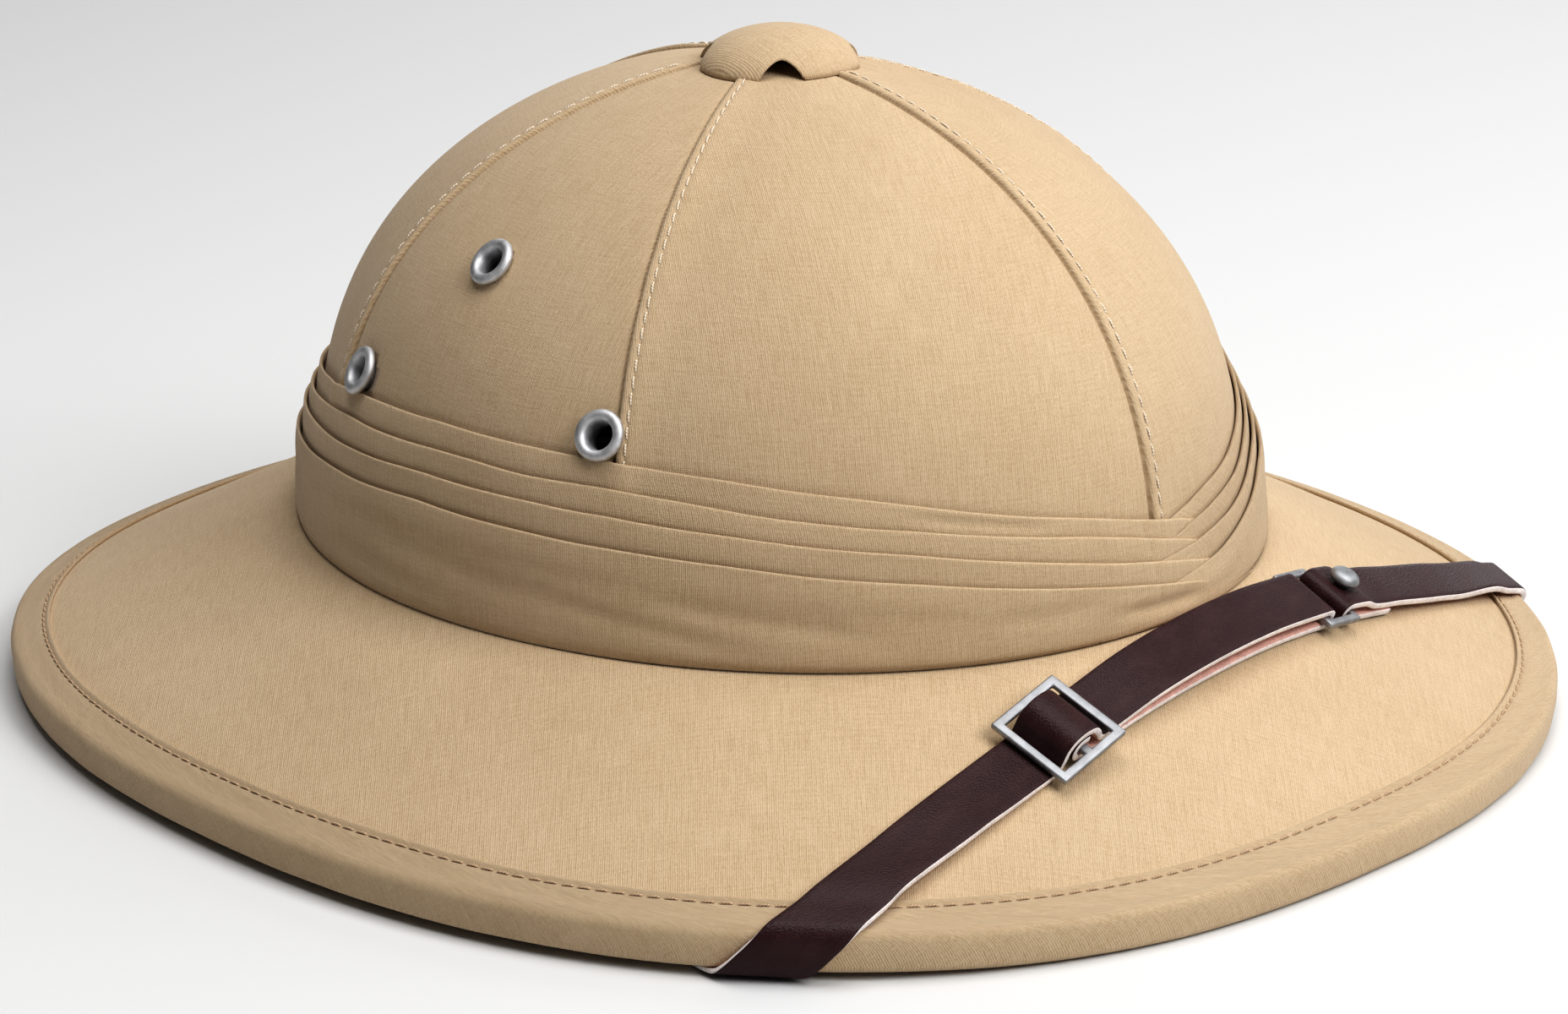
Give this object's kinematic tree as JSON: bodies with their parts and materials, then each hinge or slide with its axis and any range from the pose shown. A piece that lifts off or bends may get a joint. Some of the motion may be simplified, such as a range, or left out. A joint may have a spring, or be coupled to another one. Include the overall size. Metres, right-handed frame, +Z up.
{
  "type": "safari hat",
  "caption": "Khaki cloth safari sun helmet with a pleated band, a vent cap, side eyelets, a sloping bound brim and a dark leather chin strap lying over the front of the brim.",
  "frame": {"origin": "On the surface the rim rests on, under the middle of the outline in plan.", "axes": "+Z up, -Y towards the front of the hat (the strap side), -X towards the wearer's right, +X towards the wearer's left."},
  "size_m": [0.3128, 0.35, 0.1452],
  "materials": {
    "khaki_cloth": "matte plain-weave cotton drill",
    "strap_leather": "dark brown, finely grained, slight sheen",
    "eyelet_metal": "satin rolled ring",
    "buckle_metal": "nickel plate, polished but handled",
    "steel": "plain"
  },
  "bodies": {
    "root": {"crown": "khaki_cloth", "brim": "khaki_cloth", "brim_binding": "khaki_cloth", "band": "khaki_cloth", "vent_cap": "khaki_cloth", "cap_post": "steel", "eyelet_right_top": "eyelet_metal", "eyelet_right_front": "eyelet_metal", "eyelet_right_rear": "eyelet_metal", "eyelet_left_top": "eyelet_metal", "eyelet_left_front": "eyelet_metal", "eyelet_left_rear": "eyelet_metal", "strap_long": "strap_leather", "strap_short": "strap_leather", "slide_buckle": "buckle_metal", "strap_ring": "buckle_metal", "strap_stud": "buckle_metal", "strap_anchor_right": "steel", "strap_anchor_left": "steel"}
  },
  "joints": []
}
